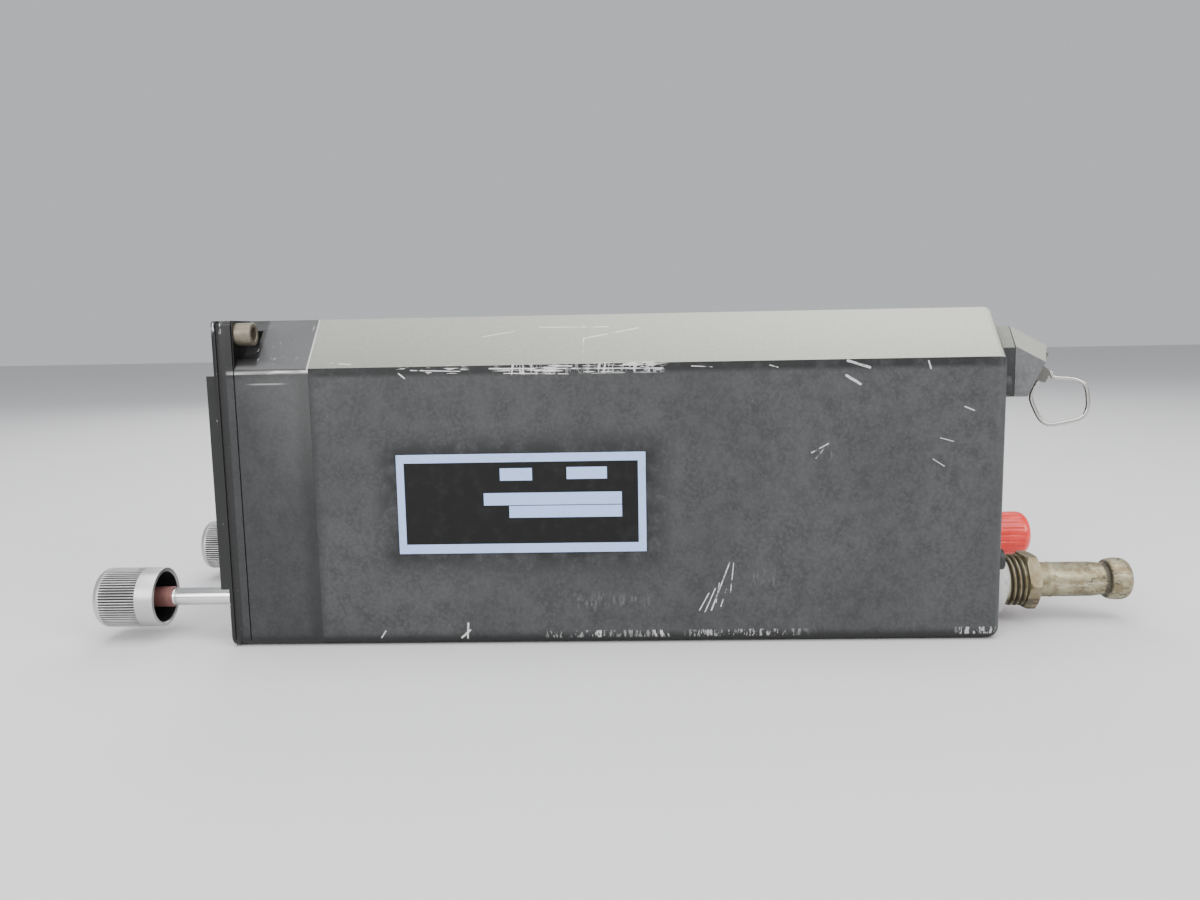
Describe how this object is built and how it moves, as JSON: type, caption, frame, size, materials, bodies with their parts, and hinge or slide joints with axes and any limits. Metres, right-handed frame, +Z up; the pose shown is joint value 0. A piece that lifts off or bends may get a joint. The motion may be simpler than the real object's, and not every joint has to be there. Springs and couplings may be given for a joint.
{
  "type": "aircraft navigation indicator",
  "caption": "Panel-mounted aircraft navigation indicator in a square case with two setting knobs, built-in air-driven gyro, rear connector hood and hose fitting.",
  "frame": {"origin": "centre of the four panel screws, on the front face of the flange", "axes": "+X to the pilot's right, +Y rearward into the panel, +Z up"},
  "size_m": [0.0834, 0.2742, 0.083],
  "materials": {
    "case_enamel": "satin black enamel, worn",
    "gasket_rubber": "matte",
    "screw_steel": "zinc plated",
    "insert_bronze": "dull bronze",
    "glass": "clear polished",
    "dial_black": "matte black",
    "marking_white": "matte white",
    "bug_orange": "matte orange",
    "plate_aluminium": "machined",
    "gear_brass": "machined",
    "shaft_steel": "ground",
    "knob_metal": "satin, knurled",
    "hub_copper": "dull",
    "label": "printed foil",
    "connector_metal": "plated",
    "connector_plastic": "moulded",
    "contact_gold": "gold plated",
    "fitting_plated": "yellow zinc plated",
    "cap_red": "moulded",
    "board_green": "laminate"
  },
  "bodies": {
    "case": {"front_casting": "case_enamel", "bezel": "case_enamel", "bezel_gasket": "gasket_rubber", "bezel_screws": "screw_steel", "panel_inserts": "insert_bronze", "window_glass": "glass", "glass_ring": "dial_black", "dial_mask": "dial_black", "aircraft_symbol": "marking_white", "gear_plate": "plate_aluminium", "card_bearing": "shaft_steel", "rear_gear_plate": "plate_aluminium", "heading_bushing": "insert_bronze", "course_bushing": "insert_bronze", "sleeve": "case_enamel", "sleeve_screws": "screw_steel", "data_plate": "label", "hood_base": "case_enamel", "connector_hood": "case_enamel", "connector_shell": "connector_metal", "connector_block": "connector_plastic", "connector_contacts": "contact_gold", "hose_fitting": "fitting_plated", "capped_fitting": "fitting_plated", "port_cap": "cap_red", "chassis_rods": "screw_steel", "gyro_frame": "plate_aluminium", "bulkhead": "plate_aluminium", "air_tube": "fitting_plated", "circuit_board": "board_green"},
    "outer_gimbal": {"outer_gimbal": "plate_aluminium", "azimuth_crown": "gear_brass"},
    "inner_gimbal": {"inner_gimbal": "plate_aluminium"},
    "gyro_rotor": {"gyro_rotor": "gear_brass"},
    "azimuth_shaft": {"azimuth_shaft": "shaft_steel", "azimuth_pinion": "gear_brass"},
    "card": {"card_drum": "plate_aluminium", "compass_card": "dial_black", "card_gear": "gear_brass"},
    "heading_bug": {"heading_bug": "bug_orange", "bug_gear": "gear_brass"},
    "course": {"course_disc": "dial_black", "course_arrow": "marking_white", "course_gear": "gear_brass"},
    "deviation_bar": {"deviation_bar": "marking_white"},
    "course_idler": {"course_idler": "gear_brass"},
    "course_knob": {"course_knob": "knob_metal", "course_hub": "hub_copper", "course_shaft": "shaft_steel", "course_pinion": "gear_brass"},
    "heading_drive": {"heading_pinion": "gear_brass"},
    "heading_knob": {"heading_knob": "knob_metal", "heading_hub": "hub_copper", "heading_shaft": "shaft_steel"},
    "heading_flag": {"heading_flag": "bug_orange"},
    "course_flag": {"course_flag": "bug_orange"},
    "glideslope_pointer_right": {"glideslope_pointer_right": "marking_white"},
    "glideslope_pointer_left": {"glideslope_pointer_left": "marking_white"},
    "latch_bail_right": {"latch_bail_right": "connector_metal"},
    "latch_bail_left": {"latch_bail_left": "connector_metal"}
  },
  "joints": [
    {"name": "gimbal_azimuth", "type": "hinge", "parent": "case", "child": "outer_gimbal", "pos_m": [0, 0.058, -0.005], "axis": [0, 0, 1], "continuous": true},
    {"name": "gimbal_tilt", "type": "hinge", "parent": "outer_gimbal", "child": "inner_gimbal", "pos_m": [0, 0.058, -0.005], "axis": [1, 0, 0], "range_deg": [-55, 55]},
    {"name": "rotor_spin", "type": "hinge", "parent": "inner_gimbal", "child": "gyro_rotor", "pos_m": [0, 0.058, -0.005], "axis": [0, 1, 0], "continuous": true},
    {"name": "azimuth_shaft_turn", "type": "hinge", "parent": "case", "child": "azimuth_shaft", "pos_m": [0, 0.02, 0.03143], "axis": [0, 1, 0], "continuous": true},
    {"name": "card_turn", "type": "hinge", "parent": "case", "child": "card", "pos_m": [0, 0.008, 0], "axis": [0, 1, 0], "continuous": true},
    {"name": "bug_turn", "type": "hinge", "parent": "case", "child": "heading_bug", "pos_m": [0, 0.01, 0], "axis": [0, 1, 0], "continuous": true},
    {"name": "course_turn", "type": "hinge", "parent": "case", "child": "course", "pos_m": [0, 0.01, 0], "axis": [0, 1, 0], "continuous": true},
    {"name": "deviation_slide", "type": "slide", "parent": "course", "child": "deviation_bar", "axis": [1, 0, 0], "range_m": [-0.009, 0.009]},
    {"name": "idler_turn", "type": "hinge", "parent": "case", "child": "course_idler", "pos_m": [-0.01796, 0.019, -0.01759], "axis": [0, 1, 0], "continuous": true},
    {"name": "course_knob_turn", "type": "hinge", "parent": "case", "child": "course_knob", "pos_m": [-0.03143, 0, -0.03079], "axis": [0, 1, 0], "continuous": true},
    {"name": "heading_knob_turn", "type": "hinge", "parent": "case", "child": "heading_drive", "pos_m": [0.03143, 0, -0.03079], "axis": [0, 1, 0], "continuous": true},
    {"name": "heading_knob_push", "type": "slide", "parent": "heading_drive", "child": "heading_knob", "axis": [0, 1, 0], "range_m": [0, 0.003], "stiffness_N_per_m": 900, "springref_m": -0.001},
    {"name": "heading_flag_turn", "type": "hinge", "parent": "case", "child": "heading_flag", "pos_m": [0, 0.0057, 0], "axis": [0, 1, 0], "range_deg": [0, 20]},
    {"name": "course_flag_turn", "type": "hinge", "parent": "case", "child": "course_flag", "pos_m": [0, 0.0057, 0], "axis": [0, 1, 0], "range_deg": [-20, 0]},
    {"name": "glideslope_right_slide", "type": "slide", "parent": "case", "child": "glideslope_pointer_right", "axis": [0, 0, 1], "range_m": [-0.007, 0.007]},
    {"name": "glideslope_left_slide", "type": "slide", "parent": "case", "child": "glideslope_pointer_left", "axis": [0, 0, 1], "range_m": [-0.007, 0.007]},
    {"name": "latch_right_swing", "type": "hinge", "parent": "case", "child": "latch_bail_right", "pos_m": [0.028, 0.20816, 0.02413], "axis": [0, 0.4384, 0.8988], "range_deg": [-75, 80]},
    {"name": "latch_left_swing", "type": "hinge", "parent": "case", "child": "latch_bail_left", "pos_m": [-0.028, 0.20816, 0.02413], "axis": [0, 0.4384, 0.8988], "range_deg": [-80, 75]}
  ],
  "couplings": [
    {"joint": "azimuth_shaft_turn", "follows": "gimbal_azimuth", "ratio": -4},
    {"joint": "card_turn", "follows": "gimbal_azimuth", "ratio": 1},
    {"joint": "bug_turn", "follows": "heading_knob_turn", "ratio": -0.16667},
    {"joint": "idler_turn", "follows": "course_knob_turn", "ratio": -0.5},
    {"joint": "course_turn", "follows": "course_knob_turn", "ratio": 0.5},
    {"joint": "glideslope_left_slide", "follows": "glideslope_right_slide", "ratio": 1}
  ]
}
